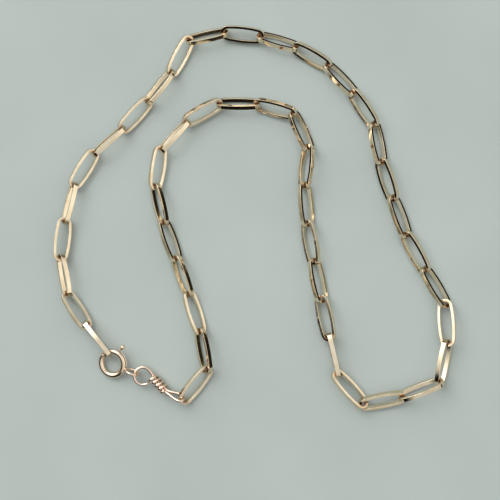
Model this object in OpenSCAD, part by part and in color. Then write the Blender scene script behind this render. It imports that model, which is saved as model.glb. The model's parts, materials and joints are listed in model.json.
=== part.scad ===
// Paperclip chain necklace, fastened and laid down as one closed loop.
// Long flat-wire links hook into each other, turned about a quarter turn from one
// to the next. A spring ring clasp closes the chain on a hand-wrapped wire loop.

/* [Link] */
// Length of a link over its outside
link_l = 11.9; // [11.5:0.05:12.5]
// Width of a link over its outside
link_w = 4.3; // [4.1:0.05:4.8]
// Thickness of the flat wire, in the plane of the link
strip_t = 0.7; // [0.6:0.02:0.76]
// Width of the flat wire, across the plane of the link
strip_d = 1.15; // [1:0.05:1.2]
// Rounding along the four edges of the flat wire
strip_edge = 0.22; // [0.15:0.01:0.28]
// Radius of the link's round ends, to the middle of the wire
end_r = 1.5; // [1.4:0.05:1.6]

/* [Chain] */
// Number of links, each one turned about a quarter turn from the last
link_count = 44; // [44:2:44]
// Play between two linked ends
joint_gap = 0.5; // [0.46:0.02:0.6]
// More play where two links cross at a slant, for a full turn into one plane
slant_gap = 1.9; // [1.6:0.1:2]

/* [Spring ring clasp] */
// Diameter of the clasp over its outside
clasp_od = 7.8; // [7.4:0.1:8]
// Diameter of the hollow ring tube
tube_d = 1.5; // [1.4:0.05:1.7]
// Wall of the hollow ring tube
tube_wall = 0.2; // [0.15:0.01:0.25]
// Diameter of the sliding gate wire inside the tube
gate_d = 0.8; // [0.7:0.05:0.9]
// Angle round the clasp where the mouth begins
mouth_from = 80; // [78:1:82]
// Angle round the clasp where the mouth ends
mouth_to = 134; // [130:1:136]
// Length of gate wire that stays inside the far side of the mouth, as an angle
gate_overlap = 6; // [4:1:6]
// Angle round the clasp of the thumb knob while the clasp is shut
knob_angle = 54; // [52:1:56]
// How far the knob slides to open the clasp, as an angle
gate_travel = 60; // [58:1:62]
// Diameter of the thumb knob
knob_d = 1.3; // [1:0.1:1.4]
// Distance of the thumb knob's middle from the middle of the clasp
knob_x = 5.3; // [4.9:0.1:5.6]
// Length of gate wire behind the thumb knob, as an angle
gate_tail = 10; // [8:1:12]
// Diameter of the stem that carries the thumb knob through the slot
stem_d = 0.5; // [0.4:0.05:0.6]
// Clearance of the stem in its slot, on each side
slot_gap = 0.12; // [0.08:0.01:0.2]
// Diameter of the small soldered ring over its outside
eyelet_od = 4.1; // [3.7:0.1:4.2]
// Diameter of the small soldered ring's wire
eyelet_wire_d = 0.75; // [0.6:0.05:0.8]
// Depth that the small ring is soldered into the clasp's tube
solder_depth = 0.12; // [0.08:0.02:0.16]
// Diameter of the drop of solder between them
solder_d = 1.1; // [0.9:0.1:1.3]

/* [Wire wrapped loop] */
// Diameter of the round wire
wire_d = 0.78; // [0.7:0.01:0.8]
// Diameter of the large round eye, to the middle of the wire
eye_d = 4.5; // [4.2:0.05:4.8]
// Number of turns wrapped round the doubled neck
wrap_turns = 4.25; // [3.25:1:5.25]
// Distance from one wrapped turn to the next
wrap_pitch = 1.1; // [1:0.01:1.2]
// Length of the narrow loop that holds the last link, to the middle of the wire
loop_l = 5.2; // [4.8:0.1:5.6]
// Width of the narrow loop, to the middle of the wire
loop_w = 2.5; // [2.5:0.1:2.8]
// Clearance between wires that lie side by side
wire_gap = 0.04; // [0.03:0.01:0.08]

/* [Hidden] */
// Every link is a node of its own, and the clasp opens at its gate.
function link_name(i) = str("link_", i < 10 ? "0" : "", i);

// Places on the table that the chain is laid along, chosen by hand, in order from the
// clasp round the outer strand, back up the inner strand and down to the wrapped loop.
ROUTE = [
    [-42.5, -29], [-48, -20.5], [-50, -10.5], [-49, -0.5], [-46.5, 9], [-41, 17.5], [-33.5, 24],
    [-21.2, 37.6], [-18.3, 45.3], [-8.1, 49], [2, 48], [11.5, 45], [20.5, 39.5], [27, 32.5],
    [32.5, 24], [34.5, 14], [40, -5], [44.4, -14.3], [49.2, -23], [50, -33], [47.6, -43.3],
    [40.9, -46], [32.5, -49.5], [24.2, -45.3], [20.9, -33.5], [17, -12.5], [15.5, -2.5],
    [15, 7.5], [16, 17.5], [12.5, 25.5], [2.8, 29.1], [-6.6, 29.7], [-16, 25], [-22.5, 18],
    [-24.5, 8.5], [-22.5, -1], [-16, -20], [-13, -29.5], [-11, -39.5]
];
// Lean of the even links: link number, degrees to the right of the chain's run.
EVEN_LEAN = [
    [2, 44], [4, 26], [6, 40], [8, 42], [10, 44], [12, 34], [14, 48], [16, 48], [18, 42],
    [20, 46], [22, 24], [24, 58], [26, 34], [28, -26], [30, -35], [32, -42], [34, -50],
    [36, -48], [38, -42], [40, -46], [44, -38]
];
// Lean of the odd links, in the same two columns.
ODD_LEAN = [
    [1, -78], [3, -47], [5, -50], [7, -54], [9, -42], [11, -36], [13, -34], [15, -36], [17, -40],
    [19, -38], [21, -39], [23, -54], [25, -36], [27, -87], [29, 43], [31, 43], [33, 42],
    [35, 40], [37, 55], [39, 43], [41, 42], [43, 43]
];

// Place of the clasp, how far it is tipped and which side of it is high: it rests on
// the low side of its tube and on its small ring.
clasp_at = [-35.8, -38.6];
clasp_tip = 15;
clasp_high_side = 51;
// Angles round the clasp of the first link and of the small soldered ring
hook_angle = 112;
eyelet_angle = -22;
// Headings on the table of the wrapped neck, the narrow loop and the last link
neck_heading = -45;
loop_heading = -22;
last_heading = -130;
// Where the neck leaves the round eye, as an angle round the eye from the neck's heading
neck_side = 41.6;
// Lean of the narrow loop and of the two strands in the neck, square to the last link
loop_lean = 54;
// Play where the first link hangs on the gate, where the last link hangs on the narrow
// loop and where the round eye pulls on the small ring
hook_gap = 0.55;
loop_gap = 0.4;
eye_gap = 0.25;

// Link: the middle line is four arcs, two round ends and two slightly bowed sides.
half_l = (link_l - strip_t) / 2;
half_w = (link_w - strip_t) / 2;
end_x = half_l - end_r;
side_r = (end_x * end_x + half_w * half_w - end_r * end_r) / (2 * (half_w - end_r));
side_half_angle = atan2(end_x, side_r - half_w);

function lean(i) = lookup(i, i % 2 == 0 ? EVEN_LEAN : ODD_LEAN);

// Height of a leaning link's middle above the table when its lowest side touches it
function rest_z(i) =
    (link_w / 2 - strip_edge) * abs(sin(lean(i)))
    + (strip_d / 2 - strip_edge) * cos(lean(i)) + strip_edge;

// Two linked ends pull along the line where their planes meet, and their end arcs'
// centres lie on that line, arc_span apart where the two planes are square.
arc_span = 2 * end_r - strip_t - joint_gap;
side_l = 2 * end_x;
function flat(v) = [v.x, v.y];
function normal_of(lean, run) = [sin(lean) * run.y, -sin(lean) * run.x, cos(lean)];
function link_normal(i, run) = normal_of(lean(i), run);
function meeting(m, n, next_run) =
    let (w = cross(m, n)) w / norm(w) * sign(flat(w) * next_run);
function square_pull(lean_a, heading_a, lean_b, heading_b) =
    meeting(normal_of(lean_a, along(heading_a)), normal_of(lean_b, along(heading_b)),
        along(heading_b));
function pull(i, run, next_run, slack) =
    let (m = link_normal(i, run), n = link_normal(i + 1, next_run), slant = m * n)
    (arc_span - slant_gap * slant * slant + slack) * meeting(m, n, next_run);

function sum(list, i = 0) = i == len(list) ? 0 : list[i] + sum(list, i + 1);
function heading(v) = atan2(v.y, v.x);
function along(angle) = [cos(angle), sin(angle)];

// Clasp
ring_r = (clasp_od - tube_d) / 2;
clasp_z = tube_d / 2 + ring_r * sin(clasp_tip);
hook_at = clasp_at + ring_r * along(hook_angle);
eyelet_r = (eyelet_od - eyelet_wire_d) / 2;
eyelet_x = clasp_od / 2 + eyelet_od / 2 - solder_depth;

eyelet_z = clasp_z + eyelet_x * sin(clasp_tip) * cos(eyelet_angle - clasp_high_side);

// Wrapped loop: its round eye passes through the small ring, and its neck starts beside
// the eye, at a height where the wrap rests on the table.
wire_r = wire_d / 2;
eye_r = eye_d / 2;
eye_near = eyelet_x + eyelet_r - eyelet_wire_d / 2 - wire_r - eye_gap;
eye_at = clasp_at + (eye_near + eye_r) * along(eyelet_angle);
neck_at = eye_at + eye_r * along(neck_heading + neck_side);
strand_off = (wire_d + wire_gap) / 2;
wrap_wide = wire_d + wire_gap + strand_off;
wrap_tall = 1.2 * (wire_d + wire_gap);
neck_z = norm([wrap_wide * sin(loop_lean), wrap_tall * cos(loop_lean)]) + wire_r;
wrap_from = 0.35;
wrap_l = wrap_turns * wrap_pitch;
neck_l = wrap_from + wrap_l + wire_r;
loop_at = neck_at + neck_l * along(neck_heading);
loop_r = loop_w / 2;
loop_arc_at = loop_at + (loop_l - loop_r) * along(loop_heading);

// The last link hangs on the narrow loop as on another link.
loop_pull = square_pull(lean(link_count), last_heading, loop_lean, loop_heading + 180);
loop_span = end_r - strip_t / 2 + loop_r - wire_r - loop_gap;
chain_end = loop_arc_at - loop_span * flat(loop_pull);
loop_arc_z = rest_z(link_count) + loop_span * loop_pull.z;
hook_reach = end_r - strip_t / 2 - gate_d / 2 - hook_gap;
chain_l = hook_reach + link_count * side_l + (link_count - 1) * arc_span;

// The chosen places spread about the middle of the fastening until the chain fits.
fastening = (hook_at + chain_end) / 2;
curve_parts = 10;
function spread_route(s) =
    concat([hook_at], [for (p = ROUTE) fastening + s * (p - fastening)], [chain_end]);
function spline(a, b, c, d, t) =
    b + 0.5 * t * (c - a + t * (2 * a - 5 * b + 4 * c - d + t * (3 * (b - c) + d - a)));
function curve(p) = concat(
    [for (i = [0:len(p) - 2], k = [0:curve_parts - 1])
        spline(p[max(i - 1, 0)], p[i], p[i + 1], p[min(i + 2, len(p) - 1)], k / curve_parts)],
    [p[len(p) - 1]]);
function curve_length(c) = sum([for (i = [1:len(c) - 1]) norm(c[i] - c[i - 1])]);
length_as_chosen = curve_length(curve(spread_route(1)));
length_spread = curve_length(curve(spread_route(1.1)));
route_share = 0.994;
route_spread = 1 + 0.1 * (chain_l * route_share - length_as_chosen)
    / (length_spread - length_as_chosen);
CURVE = curve(spread_route(route_spread));

// First place on the curve, after point k, that lies a distance d from a place
function first_past(at, d, k) =
    k >= len(CURVE) - 1 || norm(CURVE[k] - at) >= d ? k : first_past(at, d, k + 1);
function crossing(p, q, at, d) =
    let (v = q - p, w = p - at, a = v * v, b = v * w, c = w * w - d * d)
    p + v * (-b + sqrt(max(b * b - a * c, 0))) / a;
function on_curve(at, d, k) =
    let (n = first_past(at, d, k)) [crossing(CURVE[n - 1], CURVE[n], at, d), n];

// Link i starts where the last one, along run, lets it start if it goes along next_run.
function start_of(i, at, run, next_run, slack) =
    i == 1 ? at + hook_reach * next_run
    : at + flat(pull(i - 1, run, next_run, slack));
function settled(i, at, run, next_run, slack, k, tries) =
    let (a = start_of(i, at, run, next_run, slack), end = on_curve(a, side_l, k), b = end[0])
    tries == 0 ? [a, b, end[1]]
    : settled(i, at, run, (b - a) / norm(b - a), slack, k, tries - 1);
function laid_links(slack, i = 1, at = hook_at, run = [1, 0], k = 1) =
    let (
        ahead = on_curve(at, side_l + (i == 1 ? hook_reach : arc_span), k)[0],
        s = settled(i, at, run, (ahead - at) / norm(ahead - at), slack, k, 3),
        new_run = (s[1] - s[0]) / norm(s[1] - s[0])
    )
    i == link_count ? [s] : concat([s], laid_links(slack, i + 1, s[1], new_run, s[2]));

// The play in each joint takes up what is left over, so that the last link ends at the
// wrapped loop.
function overshoot(slack) =
    let (last = laid_links(slack)[link_count - 1], run = last[1] - last[0])
    (last[1] - chain_end) * run / norm(run);
function fitted(slack, n) =
    n == 0 ? slack : fitted(slack - overshoot(slack) / (link_count - 1), n - 1);
joint_slack = fitted(0, 3);
LAID = laid_links(joint_slack);

function run_of(i) = let (v = LAID[i - 1][1] - LAID[i - 1][0]) v / norm(v);
function rise(i) = pull(i, run_of(i), run_of(i + 1), joint_slack).z;
function end_z(i) = i == link_count ? rest_z(i) : max(rest_z(i), rest_z(i + 1) - rise(i));
function start_z(i) = i == 1 ? rest_z(1) : end_z(i - 1) + rise(i - 1);

// The flat wire's section, with its four edges rounded in two steps
module strip_section() {
    t = strip_t / 2;
    d = strip_d / 2;
    near = strip_edge * (1 - cos(45));
    corner = [[0, strip_edge], [near, near], [strip_edge, 0]];
    quarter = [for (c = corner) [t - c.x, c.y - d]];
    back = [for (k = [2:-1:0]) quarter[k]];
    polygon(concat(
        [for (q = back) [q.x, q.y]],
        [for (q = quarter) [q.x, -q.y]],
        [for (q = back) [-q.x, -q.y]],
        [for (q = quarter) [-q.x, q.y]]));
}

module strip_arc(r, from, sweep, fn) {
    rotate([0, 0, from])
        rotate_extrude(angle = sweep, $fn = fn)
            translate([r, 0])
                strip_section();
}

// A short bar inside the wire that carries an end arc over into a side arc
module arc_tie() {
    rotate([0, 0, 90 - side_half_angle])
        translate([end_r - strip_t / 4, -strip_t / 2, -strip_d / 4])
            cube([strip_t / 2, strip_t, strip_d / 2]);
}

module link_shape() {
    end_sweep = 180 - 2 * side_half_angle;
    for (side = [0, 1]) {
        mirror([side, 0, 0])
            translate([end_x, 0, 0]) {
                strip_arc(end_r, -end_sweep / 2, end_sweep, 64);
                for (up = [0, 1])
                    mirror([0, up, 0])
                        arc_tie();
            }
        mirror([0, side, 0])
            translate([0, half_w - side_r, 0])
                strip_arc(side_r, 90 - side_half_angle, 2 * side_half_angle, 360);
    }
}

module chain_link(i) {
    a = [LAID[i - 1][0].x, LAID[i - 1][0].y, start_z(i)];
    b = [LAID[i - 1][1].x, LAID[i - 1][1].y, end_z(i)];
    color("#cfb183")
        translate((a + b) / 2)
            rotate([0, -asin((b - a).z / norm(b - a)), heading(b - a)])
                rotate([lean(i), 0, 0])
                    link_shape();
}

module clasp_place() {
    translate([clasp_at.x, clasp_at.y, clasp_z])
        rotate(a = clasp_tip, v = [sin(clasp_high_side), -cos(clasp_high_side), 0])
            children();
}

module bent_rod(r, d, from, to) {
    rotate([0, 0, from])
        rotate_extrude(angle = to - from, $fn = 96)
            translate([r, 0])
                circle(d = d, $fn = 32);
}

// Half of the slot's length beyond the stem's middle, as an angle
slot_end = asin((stem_d / 2 + slot_gap) / (clasp_od / 2));
stem_slot = stem_d + 2 * slot_gap;

module clasp_ring() {
    color("#d8b894")
        clasp_place()
            difference() {
                union() {
                    bent_rod(ring_r, tube_d, mouth_to, mouth_from + 360);
                    rotate([0, 0, eyelet_angle]) {
                        translate([eyelet_x, 0, 0])
                            rotate([90, 0, 0])
                                rotate_extrude($fn = 64)
                                    translate([eyelet_r, 0])
                                        circle(d = eyelet_wire_d, $fn = 24);
                        translate([clasp_od / 2, 0, 0])
                            sphere(d = solder_d, $fn = 32);
                    }
                }
                rotate_extrude($fn = 96)
                    translate([ring_r, 0])
                        circle(d = tube_d - 2 * tube_wall, $fn = 32);
                rotate([0, 0, knob_angle - gate_travel - slot_end])
                    rotate_extrude(angle = gate_travel + 2 * slot_end, $fn = 96)
                        translate([ring_r, -stem_slot / 2])
                            square([tube_d, stem_slot]);
            }
}

module clasp_gate() {
    color("#d8b894")
        clasp_place() {
            bent_rod(ring_r, gate_d, knob_angle - gate_tail, mouth_to + gate_overlap);
            rotate([0, 0, knob_angle]) {
                translate([ring_r, 0, 0])
                    rotate([0, 90, 0])
                        cylinder(d = stem_d, h = knob_x - ring_r, $fn = 32);
                translate([knob_x, 0, 0])
                    sphere(d = knob_d, $fn = 48);
            }
        }
}

// A place beside the neck or the narrow loop: x along it, y and z across it
function beside(at, z, heading, slope, p) = [
    at.x + p.x * cos(heading) - p.y * sin(heading),
    at.y + p.x * sin(heading) + p.y * cos(heading),
    z + p.z + p.x * slope
];
function leaning(x, across, up = 0) = [
    x,
    across * cos(-loop_lean) - up * sin(-loop_lean),
    across * sin(-loop_lean) + up * cos(-loop_lean)
];
function by_neck(p) = beside(neck_at, neck_z, neck_heading, 0, p);
loop_slope = (loop_arc_z - neck_z) / (loop_l - loop_r);
function by_loop(p) = beside(loop_at, neck_z, loop_heading, loop_slope, p);

// Narrow loop: two strands that part and close in a round end
strand_steps = 6;
function parted(t) = strand_off + (loop_r - strand_off) * t * t * (3 - 2 * t);
function loop_strand(side) =
    [for (k = [1:strand_steps])
        let (t = k / strand_steps)
        by_loop(leaning(t * (loop_l - loop_r), side * parted(t)))];
loop_end = [for (a = [-75:15:75])
    by_loop(leaning(loop_l - loop_r + loop_r * cos(a), loop_r * sin(a)))];
function reversed(list) = [for (k = [len(list) - 1:-1:0]) list[k]];

// Round eye: it rises from the neck so that its near side meets the small ring's middle.
eye_slope = (eyelet_z - neck_z) / (2 * eye_r);
function round_eye(a) =
    let (p = eye_at + eye_r * along(neck_heading + a))
    [p.x, p.y, neck_z + eye_slope * max(0, (neck_at - p) * along(neck_heading))];
eye_arc = [for (a = [84:12:348]) round_eye(a)];

// Wrap: an oval coil round the two strands
wrap_steps = 16;
wrap_start = 175;
function wrap_point(turn) =
    by_neck(leaning(wrap_from + turn * wrap_pitch,
        wrap_wide * cos(wrap_start + loop_lean - 360 * turn),
        wrap_tall * sin(wrap_start + loop_lean - 360 * turn)));
wrap = [for (k = [0:floor(wrap_turns * wrap_steps)]) wrap_point(k / wrap_steps)];

// Shares of the neck's length where its two strands run: the wire's first end lies hidden
// in the wrap, the other strand goes on to the round eye, and both leave for the loop.
hidden_end = 0.21;
strand_middle = 0.51;
strand_mouth = 0.957;
strand_to_eye = 0.106;
function neck_strand(side, shares) =
    [for (s = shares) by_neck(leaning(s * neck_l, side * strand_off))];

wire_path = concat(
    neck_strand(-1, [hidden_end, strand_middle, strand_mouth]),
    loop_strand(-1), loop_end, reversed(loop_strand(1)),
    neck_strand(1, [strand_mouth, strand_middle, strand_to_eye]),
    eye_arc, wrap);

// Wire swept along its path: a ring of points at each place, turned without twist
wire_sides = 10;
function unit(v) = v / norm(v);
function path_run(p, i) = unit(p[min(i + 1, len(p) - 1)] - p[max(i - 1, 0)]);
function carried(p, i, side) =
    let (t = path_run(p, i), s = unit(side - t * (side * t)))
    i == len(p) - 1 ? [s] : concat([s], carried(p, i + 1, s));

module swept_wire(p, r) {
    sides = carried(p, 0, [0.1, 0.2, 1]);
    points = [for (i = [0:len(p) - 1])
        let (s = sides[i], c = cross(path_run(p, i), s))
        for (k = [0:wire_sides - 1])
            p[i] + r * (cos(k * 360 / wire_sides) * s + sin(k * 360 / wire_sides) * c)];
    last = (len(p) - 1) * wire_sides;
    faces = concat(
        [[for (k = [0:wire_sides - 1]) k]],
        [for (i = [0:len(p) - 2], k = [0:wire_sides - 1])
            let (a = i * wire_sides, next = (k + 1) % wire_sides)
            [a + k, a + wire_sides + k, a + wire_sides + next, a + next]],
        [[for (k = [wire_sides - 1:-1:0]) last + k]]);
    polyhedron(points, faces, convexity = 10);
}

module wire_loop() {
    color("#d9bfae")
        swept_wire(wire_path, wire_r);
}

for (i = [1:link_count])
    chain_link(i);
clasp_ring();
clasp_gate();
wire_loop();
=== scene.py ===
import json
import math

import bmesh
import bpy
import numpy as np
from mathutils import Matrix, Vector


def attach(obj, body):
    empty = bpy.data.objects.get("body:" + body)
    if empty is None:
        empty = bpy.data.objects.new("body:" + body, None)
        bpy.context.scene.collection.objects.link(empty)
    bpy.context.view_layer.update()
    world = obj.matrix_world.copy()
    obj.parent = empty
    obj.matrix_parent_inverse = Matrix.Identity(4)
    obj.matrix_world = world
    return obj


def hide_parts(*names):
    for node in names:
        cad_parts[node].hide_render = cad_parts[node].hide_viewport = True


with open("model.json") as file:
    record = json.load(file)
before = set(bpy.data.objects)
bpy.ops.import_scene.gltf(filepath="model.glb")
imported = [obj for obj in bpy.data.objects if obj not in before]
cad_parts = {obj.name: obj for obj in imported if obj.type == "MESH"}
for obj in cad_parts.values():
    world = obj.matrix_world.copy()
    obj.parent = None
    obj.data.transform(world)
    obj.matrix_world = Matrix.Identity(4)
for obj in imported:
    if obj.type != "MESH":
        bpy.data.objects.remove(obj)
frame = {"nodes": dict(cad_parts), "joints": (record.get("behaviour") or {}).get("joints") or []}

bl_info = {
    "name": "Paperclip chain necklace",
    "version": (1, 0, 0),
    "blender": (4, 5, 0),
    "location": "View3D > Sidebar > Necklace",
    "description": "Dresses the packed chain, clasp and wrapped wire loop for a studio picture",
    "category": "Object",
}

MM = 0.001
CHAIN_BODY = "necklace"
GATE_BODY = "gate"
LINKS = sorted(name for name in frame["nodes"] if name.startswith("link_"))
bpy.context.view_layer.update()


# Settings

def linear(code):
    """sRGB hex to linear RGB."""
    parts = [int(code[k:k + 2], 16) / 255 for k in (1, 3, 5)]
    return tuple(p / 12.92 if p <= 0.04045 else ((p + 0.055) / 1.055) ** 2.4 for p in parts)


class ChainSettings(bpy.types.PropertyGroup):
    """Sizes and finish of the flat-wire links"""

    link_length: bpy.props.FloatProperty(
        name="Link length", description="Length of a link over its outside",
        default=11.9 * MM, unit="LENGTH")
    link_width: bpy.props.FloatProperty(
        name="Link width", description="Width of a link over its outside",
        default=4.3 * MM, unit="LENGTH")
    wire_thickness: bpy.props.FloatProperty(
        name="Wire thickness", description="Thickness of the flat wire in the link's plane",
        default=0.7 * MM, unit="LENGTH")
    wire_width: bpy.props.FloatProperty(
        name="Wire width", description="Width of the flat wire across the link's plane",
        default=1.15 * MM, unit="LENGTH")
    wire_edge: bpy.props.FloatProperty(
        name="Edge rounding", description="Rounding along the edges of the flat wire",
        default=0.06 * MM, unit="LENGTH")
    end_radius: bpy.props.FloatProperty(
        name="End radius", description="Radius of the round ends, to the middle of the wire",
        default=1.5 * MM, unit="LENGTH")
    gold: bpy.props.FloatVectorProperty(
        name="Gold", description="Colour of the polished flat wire",
        subtype="COLOR", size=3, default=linear("#E9DCC4"))


class ClaspSettings(bpy.types.PropertyGroup):
    """Sizes of the spring ring clasp"""

    outer_diameter: bpy.props.FloatProperty(
        name="Clasp diameter", description="Diameter of the clasp over its outside",
        default=7.8 * MM, unit="LENGTH")
    tube_diameter: bpy.props.FloatProperty(
        name="Tube diameter", description="Diameter of the hollow ring tube",
        default=1.5 * MM, unit="LENGTH")
    tube_wall: bpy.props.FloatProperty(
        name="Tube wall", description="Wall of the hollow ring tube",
        default=0.2 * MM, unit="LENGTH")
    gate_diameter: bpy.props.FloatProperty(
        name="Gate diameter", description="Diameter of the sliding gate wire",
        default=0.8 * MM, unit="LENGTH")
    stem_diameter: bpy.props.FloatProperty(
        name="Stem diameter", description="Diameter of the stem that carries the knob",
        default=0.5 * MM, unit="LENGTH")
    knob_diameter: bpy.props.FloatProperty(
        name="Knob diameter", description="Diameter of the thumb knob",
        default=1.3 * MM, unit="LENGTH")
    knob_distance: bpy.props.FloatProperty(
        name="Knob distance", description="Distance of the knob from the middle of the clasp",
        default=5.3 * MM, unit="LENGTH")
    small_ring_diameter: bpy.props.FloatProperty(
        name="Small ring diameter", description="Diameter of the soldered small ring",
        default=4.1 * MM, unit="LENGTH")
    small_ring_wire: bpy.props.FloatProperty(
        name="Small ring wire", description="Diameter of the small ring's wire",
        default=0.75 * MM, unit="LENGTH")
    solder_diameter: bpy.props.FloatProperty(
        name="Solder", description="Diameter of the drop of solder on the small ring",
        default=1.1 * MM, unit="LENGTH")
    gold: bpy.props.FloatVectorProperty(
        name="Gold", description="Colour of the polished clasp",
        subtype="COLOR", size=3, default=linear("#EEDBC6"))


class WrapSettings(bpy.types.PropertyGroup):
    """Sizes of the hand-wrapped wire loop"""

    wire_diameter: bpy.props.FloatProperty(
        name="Wire diameter", description="Diameter of the round wire",
        default=0.78 * MM, unit="LENGTH")
    eye_diameter: bpy.props.FloatProperty(
        name="Eye diameter", description="Diameter of the round eye, to the wire's middle",
        default=4.5 * MM, unit="LENGTH")
    wrap_pitch: bpy.props.FloatProperty(
        name="Wrap pitch", description="Distance from one wrapped turn to the next",
        default=1.1 * MM, unit="LENGTH")
    wrap_turns: bpy.props.FloatProperty(
        name="Wrap turns", description="Number of turns wrapped round the neck", default=4.25)
    loop_length: bpy.props.FloatProperty(
        name="Loop length", description="Length of the narrow loop, to the wire's middle",
        default=5.2 * MM, unit="LENGTH")
    loop_width: bpy.props.FloatProperty(
        name="Loop width", description="Width of the narrow loop, to the wire's middle",
        default=2.5 * MM, unit="LENGTH")
    loop_height: bpy.props.FloatProperty(
        name="Loop height", description="Height at which the last link holds the narrow loop",
        default=2.49 * MM, unit="LENGTH")
    gold: bpy.props.FloatVectorProperty(
        name="Gold", description="Colour of the polished round wire",
        subtype="COLOR", size=3, default=linear("#EAD3C2"))


class StageSettings(bpy.types.PropertyGroup):
    """Floor, light and camera"""

    lens: bpy.props.FloatProperty(
        name="Lens", description="Focal length for a 36 mm wide sensor",
        default=57.6, subtype="DISTANCE_CAMERA")
    board: bpy.props.FloatVectorProperty(
        name="Board", description="Colour of the painted board",
        subtype="COLOR", size=3, default=linear("#A7B0AD"))
    key_power: bpy.props.FloatProperty(
        name="Window light", description="Power of the large soft light on the left",
        default=1.0, unit="POWER")


# Shaping

MERGE_DISTANCE = 0.002 * MM


def begin():
    """Leaves object mode clean: nothing selected, nothing in edit mode."""
    if bpy.context.object and bpy.context.object.mode != "OBJECT":
        bpy.ops.object.mode_set(mode="OBJECT")
    bpy.ops.object.select_all(action="DESELECT")


def named(name):
    """Names the newest object and its mesh."""
    piece = bpy.context.object
    piece.name = name
    piece.data.name = name
    return piece


def only(piece):
    """Selects one piece and nothing else."""
    begin()
    piece.select_set(True)
    bpy.context.view_layer.objects.active = piece


def pick(piece, kind, test):
    """Selects the vertices, edges or faces that pass the test, in edit mode."""
    mesh = bmesh.from_edit_mesh(piece.data)
    for part in (mesh.verts, mesh.edges, mesh.faces):
        for element in part:
            element.select = False
    for element in getattr(mesh, kind):
        if test(element):
            element.select_set(True)
    bmesh.update_edit_mesh(piece.data)


def edit(piece):
    """Enters edit mode on one piece."""
    only(piece)
    bpy.ops.object.mode_set(mode="EDIT")


def modified(piece, kind, **settings):
    """Adds a modifier with its settings and applies it."""
    only(piece)
    modifier = piece.modifiers.new(kind.title(), kind)
    for key, value in settings.items():
        setattr(modifier, key, value)
    bpy.ops.object.modifier_apply(modifier=modifier.name)


def rounded(piece, width, segments, over):
    """Rounds the edges that are sharper than an angle in degrees."""
    modified(piece, "BEVEL", width=width, segments=segments, limit_method="ANGLE",
             angle_limit=math.radians(over))


def smooth(piece, under):
    """Smooths the shading where faces meet at less than an angle in degrees."""
    only(piece)
    bpy.ops.object.shade_smooth_by_angle(angle=math.radians(under))


def outward(piece):
    """Closes the seams and turns every face outwards."""
    edit(piece)
    bpy.ops.mesh.select_all(action="SELECT")
    bpy.ops.mesh.remove_doubles(threshold=MERGE_DISTANCE)
    bpy.ops.mesh.normals_make_consistent(inside=False)
    bpy.ops.object.mode_set(mode="OBJECT")


def placed(piece, matrix):
    """Moves a piece and leaves its place in its mesh."""
    only(piece)
    piece.matrix_world = matrix
    bpy.ops.object.transform_apply(location=True, rotation=True, scale=True)


def spun(steps, angle, centre):
    """Spins what is selected round the z direction, anticlockwise."""
    bpy.ops.mesh.spin(steps=steps, angle=angle, center=centre, axis=(0, 0, -1))


def finish_piece(piece, body, material, node):
    """Gives a piece its metal and its body, in place of a CAD node."""
    piece.data.materials.clear()
    piece.data.materials.append(material)
    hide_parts(node)
    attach(piece, body)


# Finishes

PATCH_TINT = (0.87, 0.82, 0.74)
# dark red-brown painted shade for the inside of the link ends, where the links meet
SHADE_GOLD = linear("#96684A")
# noise scales are counts per metre, since patterns read object coordinates
PATCHES = 250.0
MARKS = 2500.0
DENTS = 900.0
BOARD_TONES = 30.0
BOARD_DARK, BOARD_LIGHT = 0.96, 1.03


def add(tree, kind, links=(), **settings):
    """Adds a node with its settings; links are (input, socket or value) pairs."""
    node = tree.nodes.new(kind)
    for key, value in settings.items():
        setattr(node, key, value)
    for socket, source in links:
        if isinstance(source, bpy.types.NodeSocket):
            tree.links.new(source, node.inputs[socket])
        else:
            node.inputs[socket].default_value = source
    return node


def fresh_tree(owner):
    """The empty node tree of a material or world."""
    owner.use_nodes = True
    owner.node_tree.nodes.clear()
    return owner.node_tree


def ramp(tree, factor, stops):
    """Colours a factor by (place, colour) stops."""
    node = add(tree, "ShaderNodeValToRGB", [("Fac", factor)])
    for k, (place, colour) in enumerate(stops):
        stop = node.color_ramp.elements[k] if k < 2 else node.color_ramp.elements.new(place)
        stop.position = place
        stop.color = colour
    return node.outputs["Color"]


def tinted(colour, tint):
    return tuple(c * t for c, t in zip(colour, tint))


def rgba(colour):
    return (*colour, 1.0)


def noise(tree, where, scale, detail):
    """The factor of a soft, uneven pattern."""
    return add(tree, "ShaderNodeTexNoise", [
        ("Vector", where), ("Scale", scale), ("Detail", detail)]).outputs["Fac"]


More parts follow.
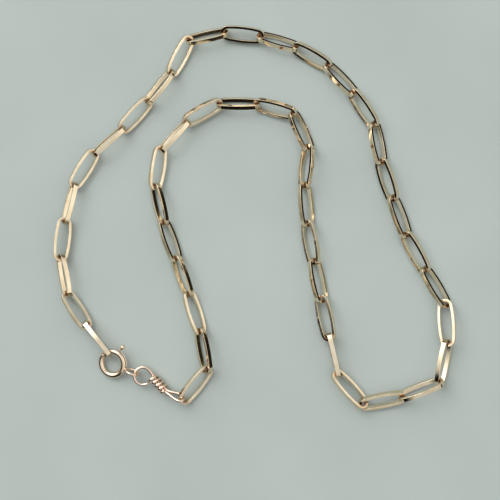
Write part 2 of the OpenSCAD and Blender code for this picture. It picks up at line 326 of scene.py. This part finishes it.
def polished_metal(name, gold, roughness, dent_depth):
    """Polished gold-filled metal: a thin, even gold skin over brass. Tumbling leaves it
    mirror-like with very shallow dents. Where the links meet it carries painted shade, a darker
    and redder gold."""
    material = bpy.data.materials.new(name)
    tree = fresh_tree(material)
    where = add(tree, "ShaderNodeTexCoord").outputs["Object"]
    # patches of slightly deeper gold, about 4 mm across
    patches = noise(tree, where, PATCHES, 2.0)
    # handling marks of about 0.4 mm
    marks = noise(tree, where, MARKS, 3.0)
    skin = ramp(tree, patches, [(0.35, rgba(gold)), (0.7, rgba(tinted(gold, PATCH_TINT)))])
    # painted shade: the gold is mixed toward dark red-brown where the links meet
    rub = add(tree, "ShaderNodeAttribute", attribute_name="rub")
    shaded_skin = add(tree, "ShaderNodeMix", [
        ("Factor", rub.outputs["Fac"]), ("A", skin), ("B", rgba(SHADE_GOLD))], data_type="RGBA")
    gloss = add(tree, "ShaderNodeMapRange", [
        ("Value", marks), ("From Min", 0.3), ("From Max", 0.7),
        ("To Min", roughness * 0.7), ("To Max", roughness * 1.4)])
    # tumbling dents of about 1 mm, a few microns deep
    hollows = noise(tree, where, DENTS, 1.0)
    bump = add(tree, "ShaderNodeBump", [
        ("Height", hollows), ("Strength", 1.0), ("Distance", dent_depth)])
    shader = add(tree, "ShaderNodeBsdfPrincipled", [
        ("Base Color", shaded_skin.outputs["Result"]), ("Metallic", 1.0),
        ("Roughness", gloss.outputs["Result"]), ("Normal", bump.outputs["Normal"])])
    add(tree, "ShaderNodeOutputMaterial", [("Surface", shader.outputs["BSDF"])])
    return material


def painted_board(paint):
    """Matt painted board: even and pale, with no sheen."""
    material = bpy.data.materials.new("Painted board, matt")
    tree = fresh_tree(material)
    where = add(tree, "ShaderNodeTexCoord").outputs["Object"]
    # the roller leaves tones of about 3 cm
    tone = noise(tree, where, BOARD_TONES, 2.0)
    colour = ramp(tree, tone, [(0.3, rgba(tinted(paint, (BOARD_DARK,) * 3))),
                               (0.7, rgba(tinted(paint, (BOARD_LIGHT,) * 3)))])
    shader = add(tree, "ShaderNodeBsdfPrincipled", [
        ("Base Color", colour), ("Roughness", 0.85), ("Specular IOR Level", 0.2)])
    add(tree, "ShaderNodeOutputMaterial", [("Surface", shader.outputs["BSDF"])])
    return material


# Links

# under the angle between a flat side and its rounded edge, in degrees
FLAT_ANGLE = 9
EDGE_SEGMENTS = 4
END_STEPS = 12
SIDE_STEPS = 16
SEAM_LENGTH = 0.2 * MM
SEAM_SWELL = 1.04
SEAM_TURNS = 3
# painted shade grows along the link's end and in toward its opening, where the next link lies
SHADE_LENGTH = 0.8 * MM
SHADE_DEPTH = 0.25 * MM
SHADE_MOST = 0.8


def link_model(sizes):
    """One link, drawn as by hand: the wire's section is spun round four arcs."""
    begin()
    half_length = (sizes.link_length - sizes.wire_thickness) / 2
    half_width = (sizes.link_width - sizes.wire_thickness) / 2
    end_x = half_length - sizes.end_radius
    side_radius = ((end_x ** 2 + half_width ** 2 - sizes.end_radius ** 2)
                   / (2 * (half_width - sizes.end_radius)))
    side_half = math.atan2(end_x, side_radius - half_width)
    end_quarter = math.pi / 2 - side_half

    bpy.ops.mesh.primitive_plane_add(size=1, rotation=(math.pi / 2, 0, 0))
    link = named("link_model")
    link.scale = (sizes.wire_thickness, sizes.wire_width, 1)
    link.location = (half_length, 0, 0)
    bpy.ops.object.transform_apply(location=True, rotation=True, scale=True)
    edit(link)
    bpy.ops.mesh.select_all(action="SELECT")
    bpy.ops.mesh.bevel(offset=sizes.wire_edge, segments=EDGE_SEGMENTS, affect="VERTICES")
    bpy.ops.mesh.select_all(action="SELECT")
    bpy.ops.mesh.delete(type="ONLY_FACE")
    bpy.ops.mesh.select_all(action="SELECT")
    spun(END_STEPS, end_quarter, (end_x, 0, 0))
    spun(SIDE_STEPS, 2 * side_half, (0, half_width - side_radius, 0))
    spun(2 * END_STEPS, 2 * end_quarter, (-end_x, 0, 0))
    spun(SIDE_STEPS, 2 * side_half, (0, side_radius - half_width, 0))
    spun(END_STEPS, end_quarter, (end_x, 0, 0))
    outward(link)
    # the soldered seam: the wire is a shade thicker where its ends meet
    edit(link)
    pick(link, "verts", lambda v: abs(v.co.x) < SEAM_LENGTH / 2 and v.co.y > 0)
    bpy.ops.transform.resize(value=(1, 1, SEAM_SWELL))
    bpy.ops.object.mode_set(mode="OBJECT")
    # flat faces stay flat to the light, and only the arcs along the wire are smooth
    smooth(link, FLAT_ANGLE)
    # paints shade inside the link ends, where the next link lies
    paint_shade_where_linked(link, end_x, sizes.end_radius)
    return link


def paint_shade_where_linked(link, end_x, end_radius):
    """Stores how much painted shade each point gets where the neighbouring link passes."""
    rub = link.data.attributes.new("rub", "FLOAT", "POINT")
    for k, vertex in enumerate(link.data.vertices):
        beyond = abs(vertex.co.x) - end_x
        inner = end_radius - math.hypot(max(beyond, 0), vertex.co.y)
        amount = min(max(beyond / SHADE_LENGTH, 0), 1) * min(max(inner / SHADE_DEPTH, 0), 1)
        rub.data[k].value = amount * SHADE_MOST


def placement_of(node):
    """The place and turn of a link, from the area moments of its CAD mesh."""
    mesh = frame["nodes"][node].data
    mesh.calc_loop_triangles()
    points = np.array([v.co for v in mesh.vertices], float)
    corners = points[np.array([t.vertices for t in mesh.loop_triangles])]
    area = np.linalg.norm(np.cross(corners[:, 1] - corners[:, 0],
                                   corners[:, 2] - corners[:, 0]), axis=1) / 2
    total = corners.sum(axis=1)
    centre = (total * area[:, None]).sum(axis=0) / area.sum() / 3
    moved = corners - centre
    total = moved.sum(axis=1)
    moments = (np.einsum("t,tki,tkj->ij", area, moved, moved)
               + np.einsum("t,ti,tj->ij", area, total, total)) / 12
    axes = np.linalg.eigh(moments)[1]
    length, across = Vector(axes[:, 2]), Vector(axes[:, 0])
    length *= 1 if max(length, key=abs) > 0 else -1
    across *= 1 if across.z > 0 else -1
    side = across.cross(length)
    turn = Matrix((length, side, across)).transposed().to_4x4()
    return Matrix.Translation(centre) @ turn


class NECKLACE_OT_links(bpy.types.Operator):
    """Model one flat-wire link and lay a copy on every link of the chain"""

    bl_idname = "necklace.links"
    bl_label = "Chain links"

    def execute(self, context):
        sizes = context.scene.necklace_chain
        gold = polished_metal(
            "Gold-filled flat wire, drawn and tumbled", sizes.gold, 0.07, 0.004 * MM)
        model = link_model(sizes)
        half_turn = Matrix.Rotation(math.pi, 4, "Z")
        for k, node in enumerate(LINKS):
            copy = model.copy()
            copy.data = model.data.copy()
            context.collection.objects.link(copy)
            copy.name = copy.data.name = node + "_wire"
            # the seam lies on one side in one link of three, and on the other in the rest
            placed(copy, placement_of(node) @ (half_turn if k % SEAM_TURNS else Matrix()))
            finish_piece(copy, CHAIN_BODY, gold, node)
        bpy.data.objects.remove(model)
        return {"FINISHED"}


# Clasp

# the ring lies tipped off the floor, highest on one side
CLASP_TIP = math.radians(15)
CLASP_HIGH_SIDE = math.radians(51)
CLASP_MIDDLE = Vector(frame["joints"][0]["pos_m"])
# angles round the ring, shut
MOUTH = (math.radians(80), math.radians(134))
KNOB_ANGLE = math.radians(54)
GATE_TRAVEL = math.radians(60)
GATE_TAIL = math.radians(10)
GATE_OVERLAP = math.radians(6)
SMALL_RING_ANGLE = math.radians(-22)
# the small ring sinks this far into the tube, and the drop's middle lies this far inside it
SOLDER_DEPTH = 0.12 * MM
SOLDER_SINK = 0.02 * MM
SOLDER_SHAPE = (0.9, 0.85, 1.15)
SLOT_HALF_WIDTH = 0.36 * MM
SLOT_MARGIN = math.radians(4.5)
TUBE_SIDES, TUBE_STEPS = 36, 102
GATE_SIDES, GATE_STEPS = 24, 40
SMALL_RING_STEPS, SMALL_RING_SIDES = 72, 20
MELT_VOXEL = 0.07 * MM
STEM_SIDES = 28
KNOB_STEPS = 12
# left out of the ball's half turn, where the stem enters and at the flat tip, in radians
KNOB_LEFT_OUT = 0.6


def clasp_frame():
    """The clasp's own frame: its middle, with z along the ring's axis."""
    lean_axis = Vector((math.sin(CLASP_HIGH_SIDE), -math.cos(CLASP_HIGH_SIDE), 0))
    return Matrix.Translation(CLASP_MIDDLE) @ Matrix.Rotation(CLASP_TIP, 4, lean_axis)


def small_ring_reach(sizes):
    """Distance of the small ring's middle from the clasp's middle."""
    return (sizes.outer_diameter + sizes.small_ring_diameter) / 2 - SOLDER_DEPTH


def round_section(name, diameter, x, sides):
    """A wire's or tube's round section, upright at x and ready to be spun."""
    begin()
    bpy.ops.mesh.primitive_circle_add(vertices=sides, radius=diameter / 2)
    piece = named(name)
    placed(piece, Matrix.Translation((x, 0, 0)) @ Matrix.Rotation(math.pi / 2, 4, "X"))
    edit(piece)
    bpy.ops.mesh.select_all(action="SELECT")
    return piece


class NECKLACE_OT_clasp_ring(bpy.types.Operator):
    """Model the hollow, slotted spring ring and the small ring soldered to it"""

    bl_idname = "necklace.clasp_ring"
    bl_label = "Clasp ring"

    def execute(self, context):
        sizes = context.scene.necklace_clasp
        gold = polished_metal(
            "Gold-filled tube, formed and polished", sizes.gold, 0.1, 0.006 * MM)
        ring_radius = (sizes.outer_diameter - sizes.tube_diameter) / 2
        at = clasp_frame()
        tube = round_section("clasp_tube", sizes.tube_diameter, ring_radius, TUBE_SIDES)
        spun(TUBE_STEPS, 2 * math.pi - (MOUTH[1] - MOUTH[0]), (0, 0, 0))
        outward(tube)
        placed(tube, Matrix.Rotation(MOUTH[1], 4, "Z"))
        self.cut_slot(tube, ring_radius)
        modified(tube, "SOLIDIFY", thickness=sizes.tube_wall, offset=-1)
        rounded(tube, 0.05 * MM, 2, over=50)
        smooth(tube, under=40)
        placed(tube, at)
        finish_piece(tube, CHAIN_BODY, gold, "clasp_ring")

        small = self.small_ring(sizes)
        placed(small, at @ Matrix.Rotation(SMALL_RING_ANGLE, 4, "Z"))
        finish_piece(small, CHAIN_BODY, gold, "clasp_ring")
        return {"FINISHED"}

    def cut_slot(self, tube, ring_radius):
        """Opens the slot that the knob's stem runs in, along the outside of the tube."""
        low, high = KNOB_ANGLE - GATE_TRAVEL, KNOB_ANGLE

        def in_slot(face):
            middle = face.calc_center_median()
            angle = math.atan2(middle.y, middle.x)
            outside = math.hypot(middle.x, middle.y) > ring_radius
            across = abs(middle.z) < SLOT_HALF_WIDTH
            return outside and across and low - SLOT_MARGIN < angle < high + SLOT_MARGIN

        edit(tube)
        pick(tube, "faces", in_slot)
        bpy.ops.mesh.delete(type="FACE")
        bpy.ops.object.mode_set(mode="OBJECT")

    def small_ring(self, sizes):
        """A round wire ring and its drop of solder, melted into one."""
        wire = sizes.small_ring_wire
        radius = (sizes.small_ring_diameter - wire) / 2
        begin()
        bpy.ops.mesh.primitive_torus_add(
            major_segments=SMALL_RING_STEPS, minor_segments=SMALL_RING_SIDES,
            major_radius=radius, minor_radius=wire / 2,
            location=(small_ring_reach(sizes), 0, 0), rotation=(math.pi / 2, 0, 0))
        ring = named("clasp_small_ring")
        begin()
        bpy.ops.mesh.primitive_uv_sphere_add(
            segments=24, ring_count=16, radius=sizes.solder_diameter / 2,
            location=(sizes.outer_diameter / 2 - SOLDER_SINK, 0, 0))
        drop = named("solder_drop")
        edit(drop)
        bpy.ops.mesh.select_all(action="SELECT")
        bpy.ops.transform.resize(value=SOLDER_SHAPE)
        bpy.ops.object.mode_set(mode="OBJECT")
        only(ring)
        drop.select_set(True)
        bpy.ops.object.join()
        bpy.ops.object.transform_apply(location=True, rotation=True, scale=True)
        modified(ring, "REMESH", mode="VOXEL", voxel_size=MELT_VOXEL)
        modified(ring, "SMOOTH", factor=0.5, iterations=6)
        bpy.ops.object.shade_smooth()
        return ring


class NECKLACE_OT_clasp_gate(bpy.types.Operator):
    """Model the sliding gate wire with its stem and thumb knob"""

    bl_idname = "necklace.clasp_gate"
    bl_label = "Clasp gate"

    def execute(self, context):
        sizes = context.scene.necklace_clasp
        gold = polished_metal(
            "Gold-filled rod, turned and polished", sizes.gold, 0.12, 0.004 * MM)
        ring_radius = (sizes.outer_diameter - sizes.tube_diameter) / 2
        at = clasp_frame()
        tail = KNOB_ANGLE - GATE_TAIL
        gate = round_section("clasp_gate_wire", sizes.gate_diameter, ring_radius, GATE_SIDES)
        spun(GATE_STEPS, MOUTH[1] + GATE_OVERLAP - tail, (0, 0, 0))
        self.cap_ends()
        outward(gate)
        rounded(gate, 0.1 * MM, 3, over=60)
        smooth(gate, under=40)
        placed(gate, at @ Matrix.Rotation(tail, 4, "Z"))
        finish_piece(gate, GATE_BODY, gold, "clasp_gate")

        knob = self.thumb_knob(sizes, ring_radius)
        placed(knob, at @ Matrix.Rotation(KNOB_ANGLE, 4, "Z"))
        finish_piece(knob, GATE_BODY, gold, "clasp_gate")
        return {"FINISHED"}

    def cap_ends(self):
        """Closes each open end of the rod with one face."""
        bpy.ops.mesh.select_all(action="DESELECT")
        bpy.ops.mesh.select_non_manifold()
        bpy.ops.mesh.fill_holes(sides=0)
        bpy.ops.object.mode_set(mode="OBJECT")

    def thumb_knob(self, sizes, ring_radius):
        """A turned stem that swells into a round knob."""
        begin()
        stem = sizes.stem_diameter / 2
        ball = sizes.knob_diameter / 2
        centre = sizes.knob_distance
        bpy.ops.mesh.primitive_circle_add(
            vertices=STEM_SIDES, radius=stem, fill_type="NGON",
            rotation=(0, math.pi / 2, 0), location=(ring_radius, 0, 0))
        knob = named("clasp_knob")
        bpy.ops.object.transform_apply(location=True, rotation=True, scale=True)
        neck_angle = math.asin(stem / ball)
        neck = centre - ball * math.cos(neck_angle)
        profile = [(neck - 0.05 * MM, stem)]
        for k in range(1, KNOB_STEPS + 1):
            angle = math.pi - neck_angle - k * (math.pi - KNOB_LEFT_OUT) / KNOB_STEPS
            profile.append((centre + ball * math.cos(angle), ball * math.sin(angle)))
        edit(knob)
        bpy.ops.mesh.select_all(action="SELECT")
        x, radius = ring_radius, stem
        for next_x, next_radius in profile:
            bpy.ops.mesh.extrude_region_move(
                TRANSFORM_OT_translate={"value": (next_x - x, 0, 0)})
            scale = next_radius / radius
            bpy.ops.transform.resize(value=(1, scale, scale))
            x, radius = next_x, next_radius
        bpy.ops.object.mode_set(mode="OBJECT")
        outward(knob)
        smooth(knob, under=35)
        return knob


# Wrapped wire loop

NECK_HEADING = math.radians(-45)
LOOP_HEADING = math.radians(-22)
# where the neck leaves the eye, round from the neck's own heading
NECK_SIDE = math.radians(41.6)
LOOP_LEAN = math.radians(54)
WRAP_FROM = 0.35 * MM
WRAP_START = math.radians(175)
WIRE_GAP = 0.04 * MM
EYE_GAP = 0.25 * MM
# the wrap stands this much taller over the two strands than one wire lies over another
WRAP_HEIGHT = 1.2
WRAP_STEPS = 16
STRAND_STEPS = 6
# degrees round the narrow loop's tip and round the eye
TIP_ARC = range(-75, 76, 15)
EYE_ARC = range(84, 349, 12)
# shares of the neck's length at which each strand inside the wrap is held
INNER_STRAND = (0.21, 0.51, 0.957)
OUTER_STRAND = (0.957, 0.51, 0.106)


class NECKLACE_OT_wire_loop(bpy.types.Operator):
    """Bend one round wire into the narrow loop, the round eye and the wrap"""

    bl_idname = "necklace.wire_loop"
    bl_label = "Wrapped wire loop"

    def execute(self, context):
        sizes = context.scene.necklace_wrap
        gold = polished_metal(
            "Gold-filled round wire, wrapped by hand", sizes.gold, 0.12, 0.004 * MM)
        begin()
        bpy.ops.curve.primitive_nurbs_path_add()
        path = bpy.context.object
        path.name = "wire_loop_wire"
        curve = path.data
        curve.splines.clear()
        points = wire_path(sizes, context.scene.necklace_clasp)
        spline = curve.splines.new("NURBS")
        spline.points.add(len(points) - 1)
        for point, place in zip(spline.points, points):
            point.co = (*place, 1)
        spline.order_u = 3
        spline.resolution_u = 4
        spline.use_endpoint_u = True
        curve.dimensions = "3D"
        curve.twist_mode = "MINIMUM"
        curve.bevel_depth = sizes.wire_diameter / 2
        curve.bevel_resolution = 6
        curve.use_fill_caps = True
        bpy.ops.object.convert(target="MESH")
        wire = named("wire_loop_wire")
        outward(wire)
        rounded(wire, 0.05 * MM, 2, over=70)
        smooth(wire, under=45)
        finish_piece(wire, CHAIN_BODY, gold, "wire_loop")
        return {"FINISHED"}


def along(angle):
    """A step of one in a direction on the floor."""
    return Vector((math.cos(angle), math.sin(angle)))


def wire_path(sizes, clasp):
    """The wire's middle line: strand, narrow loop, strand, round eye, then the wrap."""
    eye_r, wire_r = sizes.eye_diameter / 2, sizes.wire_diameter / 2
    reach = small_ring_reach(clasp)
    ring_inside = clasp.small_ring_diameter / 2 - clasp.small_ring_wire
    eye_near = reach + ring_inside - wire_r - EYE_GAP
    eye_at = CLASP_MIDDLE.xy + (eye_near + eye_r) * along(SMALL_RING_ANGLE)
    neck_at = eye_at + eye_r * along(NECK_HEADING + NECK_SIDE)
    side_by_side = sizes.wire_diameter + WIRE_GAP
    strand = side_by_side / 2
    wide = side_by_side + strand
    tall = WRAP_HEIGHT * side_by_side
    neck_z = math.hypot(wide * math.sin(LOOP_LEAN), tall * math.cos(LOOP_LEAN)) + wire_r
    neck_l = WRAP_FROM + sizes.wrap_turns * sizes.wrap_pitch + wire_r
    loop_at = neck_at + neck_l * along(NECK_HEADING)
    loop_r = sizes.loop_width / 2
    straight = sizes.loop_length - loop_r
    loop_slope = (sizes.loop_height - neck_z) / straight
    small_ring_z = CLASP_MIDDLE.z + (reach * math.sin(CLASP_TIP)
                                     * math.cos(SMALL_RING_ANGLE - CLASP_HIGH_SIDE))
    eye_slope = (small_ring_z - neck_z) / (2 * eye_r)

    def leaning(x, across, up=0.0):
        """A place on the leaning plane that the strands and the narrow loop lie in."""
        cos, sin = math.cos(-LOOP_LEAN), math.sin(-LOOP_LEAN)
        return x, across * cos - up * sin, across * sin + up * cos

    def beside(at, heading, slope, place):
        """A place given from a start, along a heading that climbs by a slope."""
        x, y, z = place
        spot = at + x * along(heading) + y * along(heading + math.pi / 2)
        return Vector((spot.x, spot.y, neck_z + z + x * slope))

    def by_neck(place):
        return beside(neck_at, NECK_HEADING, 0, place)

    def by_loop(place):
        return beside(loop_at, LOOP_HEADING, loop_slope, place)

    def strand_of_loop(side):
        """One long side of the narrow loop, from the neck to where the tip bends."""
        shares = [k / STRAND_STEPS for k in range(1, STRAND_STEPS + 1)]
        return [by_loop(leaning(t * straight,
                                side * (strand + (loop_r - strand) * t * t * (3 - 2 * t))))
                for t in shares]

    def on_eye(angle):
        """A place on the round eye, which climbs toward the clasp's small ring."""
        spot = eye_at + eye_r * along(NECK_HEADING + angle)
        back = max(0, (neck_at - spot).dot(along(NECK_HEADING)))
        return Vector((spot.x, spot.y, neck_z + eye_slope * back))

    tip = [by_loop(leaning(straight + loop_r * math.cos(a), loop_r * math.sin(a)))
           for a in (math.radians(d) for d in TIP_ARC)]
    eye = [on_eye(math.radians(d)) for d in EYE_ARC]
    wrap = []
    for k in range(int(sizes.wrap_turns * WRAP_STEPS) + 1):
        angle = WRAP_START + LOOP_LEAN - 2 * math.pi * k / WRAP_STEPS
        wrap.append(by_neck(leaning(WRAP_FROM + sizes.wrap_pitch * k / WRAP_STEPS,
                                    wide * math.cos(angle), tall * math.sin(angle))))
    return ([by_neck(leaning(share * neck_l, -strand)) for share in INNER_STRAND]
            + strand_of_loop(-1) + tip + strand_of_loop(1)[::-1]
            + [by_neck(leaning(share * neck_l, strand)) for share in OUTER_STRAND]
            + eye + wrap)


# Stage

FLOOR_SIZE = 3
DARK = (0.012, 0.010, 0.008, 1)
WALLS = (0.72, 0.71, 0.67, 1)
# ceiling, window and right-hand wall: azimuth, elevation, full within, gone beyond, in
# degrees, and the colour
ROOM_LIGHTS = (
    (0, 90, 15, 65, (0.95, 0.96, 0.97, 1)),
    (130, 42, 16, 42, (2.8, 2.8, 2.75, 1)),
    (0, 30, 14, 45, (1.25, 1.2, 1.1, 1)),
)
# the dim horizon ends between these elevations, and the dim side is a round patch of the
# sky that fades out at its top
HORIZON = (9, 13)
DIM_SIDE = (-132, 16, 42, 50)
DIM_SIDE_TOP = (54, 44)
WINDOW_PLACE = (-0.45, 0.42, 0.55)
WINDOW_SIZE = 0.4
CAMERA_PLACE = (22.0 * MM, -31.7 * MM, 206.7 * MM)
CAMERA_TURN = (math.radians(6.04), math.radians(6.06), math.radians(-0.53))
SENSOR_WIDTH = 36
CLIP_START = 0.01


def eased(tree, value, low, high):
    """Goes smoothly from 0 at one value to 1 at another."""
    return add(tree, "ShaderNodeMapRange", [
        ("Value", value), ("From Min", low), ("From Max", high)],
        interpolation_type="SMOOTHSTEP").outputs["Result"]


def lobe(tree, direction, azimuth, elevation, inner, outer):
    """1 within an angle of a direction in the sky and 0 beyond a wider one."""
    dot = add(tree, "ShaderNodeVectorMath", [
        (0, direction), (1, sky_vector(azimuth, elevation))], operation="DOT_PRODUCT")
    return eased(tree, dot.outputs["Value"],
                 math.cos(math.radians(outer)), math.cos(math.radians(inner)))


def above(tree, height, low, high):
    """0 below the first elevation and 1 above the second; the other way round if it is lower."""
    return eased(tree, height, math.sin(math.radians(low)), math.sin(math.radians(high)))


def mixed(tree, factor, first, second):
    """The first colour where the factor is 0 and the second where it is 1."""
    return add(tree, "ShaderNodeMix", [
        ("Factor", factor), ("A", first), ("B", second)], data_type="RGBA").outputs["Result"]


def sky_vector(azimuth, elevation):
    """A direction in the sky: azimuth from the picture's right, then elevation, in degrees."""
    a, e = math.radians(azimuth), math.radians(elevation)
    return (math.cos(a) * math.cos(e), math.sin(a) * math.cos(e), math.sin(e))


class NECKLACE_OT_stage(bpy.types.Operator):
    """Set up the pale floor, the soft studio light and the camera"""

    bl_idname = "necklace.stage"
    bl_label = "Stage"

    def execute(self, context):
        settings = context.scene.necklace_stage
        self.floor(settings)
        self.room(context.scene)
        self.window(settings)
        self.camera(context.scene, settings)
        context.scene.view_settings.view_transform = "Standard"
        return {"FINISHED"}

    def floor(self, settings):
        begin()
        bpy.ops.mesh.primitive_plane_add(size=FLOOR_SIZE)
        floor = named("floor")
        floor.data.materials.append(painted_board(settings.board))

    def room(self, scene):
        """A pale room, bright above, with a window at the upper left. It is dim along the
        horizon and at the lower left, which draws the dark lines in the polished wire."""
        world = bpy.data.worlds.new("Studio room")
        scene.world = world
        tree = fresh_tree(world)
        direction = add(tree, "ShaderNodeTexCoord").outputs["Generated"]
        height = add(tree, "ShaderNodeSeparateXYZ", [("Vector", direction)]).outputs["Z"]
        colour = WALLS
        for *place, light in ROOM_LIGHTS:
            colour = mixed(tree, lobe(tree, direction, *place), colour, light)
        colour = mixed(tree, above(tree, height, *HORIZON), DARK, colour)
        low = above(tree, height, *DIM_SIDE_TOP)
        side = lobe(tree, direction, *DIM_SIDE)
        dim = add(tree, "ShaderNodeMath", [(0, low), (1, side)], operation="MULTIPLY")
        colour = mixed(tree, dim.outputs["Value"], colour, DARK)
        back = add(tree, "ShaderNodeBackground", [("Color", colour), ("Strength", 1.0)])
        add(tree, "ShaderNodeOutputWorld", [("Surface", back.outputs["Background"])])

    def window(self, settings):
        begin()
        bpy.ops.object.light_add(type="AREA", location=WINDOW_PLACE)
        light = bpy.context.object
        light.name = "window_light"
        light.data.energy = settings.key_power
        light.data.shape = "DISK"
        light.data.size = WINDOW_SIZE
        light.rotation_euler = (-light.location).to_track_quat("-Z", "Y").to_euler()

    def camera(self, scene, settings):
        begin()
        bpy.ops.object.camera_add(location=CAMERA_PLACE, rotation=CAMERA_TURN)
        camera = bpy.context.object
        camera.name = "photo_camera"
        camera.data.sensor_width = SENSOR_WIDTH
        camera.data.lens = settings.lens
        camera.data.clip_start = CLIP_START
        scene.camera = camera


# Panel and running

class NECKLACE_PT_panel(bpy.types.Panel):
    """Sizes and steps of the paperclip chain necklace"""

    bl_idname = "NECKLACE_PT_panel"
    bl_label = "Paperclip chain necklace"
    bl_space_type = "VIEW_3D"
    bl_region_type = "UI"
    bl_category = "Necklace"

    def draw(self, context):
        layout = self.layout
        for name, group in SETTINGS.items():
            box = layout.box()
            for key in group.__annotations__:
                box.prop(getattr(context.scene, name), key)
        for step in STEPS:
            layout.operator(step.bl_idname)


SETTINGS = {
    "necklace_chain": ChainSettings,
    "necklace_clasp": ClaspSettings,
    "necklace_wrap": WrapSettings,
    "necklace_stage": StageSettings,
}
STEPS = (NECKLACE_OT_stage, NECKLACE_OT_links, NECKLACE_OT_clasp_ring, NECKLACE_OT_clasp_gate,
         NECKLACE_OT_wire_loop)


def register():
    for group in SETTINGS.values():
        bpy.utils.register_class(group)
    for name, group in SETTINGS.items():
        setattr(bpy.types.Scene, name, bpy.props.PointerProperty(type=group))
    for step in STEPS:
        bpy.utils.register_class(step)
    bpy.utils.register_class(NECKLACE_PT_panel)


def unregister():
    bpy.utils.unregister_class(NECKLACE_PT_panel)
    for step in reversed(STEPS):
        bpy.utils.unregister_class(step)
    for name in SETTINGS:
        delattr(bpy.types.Scene, name)
    for group in SETTINGS.values():
        bpy.utils.unregister_class(group)


def main():
    register()
    bpy.ops.necklace.stage()
    bpy.ops.necklace.links()
    bpy.ops.necklace.clasp_ring()
    bpy.ops.necklace.clasp_gate()
    bpy.ops.necklace.wire_loop()
    begin()


if __name__ == "__main__":
    main()
